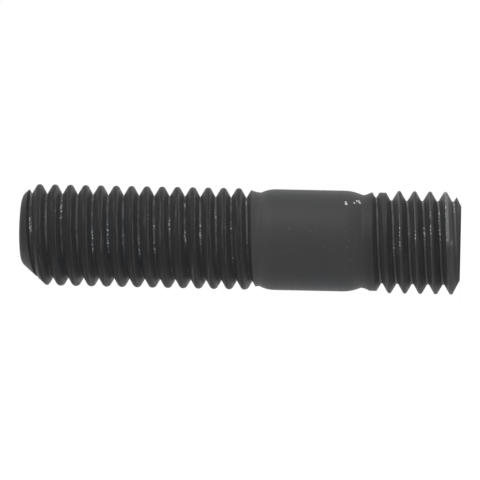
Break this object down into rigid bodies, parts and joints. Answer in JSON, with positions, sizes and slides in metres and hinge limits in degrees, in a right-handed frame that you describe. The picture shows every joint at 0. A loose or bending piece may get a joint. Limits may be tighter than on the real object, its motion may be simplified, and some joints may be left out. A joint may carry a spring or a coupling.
{
  "type": "double ended stud",
  "caption": "Headless fastener rod with a short thread for a tapped hole, a plain shank, and a long thread for a nut.",
  "frame": {"origin": "centre of the metal end's flat face, the end with the short thread", "axes": "+Z along the stud from the metal end (short thread) to the nut end (long thread); the nut end's chamfer is shallowest on the side between +X and -Y"},
  "size_m": [0.01, 0.01, 0.0428],
  "materials": {
    "black_steel": "satin"
  },
  "bodies": {
    "root": {"stud": "black_steel"}
  },
  "joints": []
}
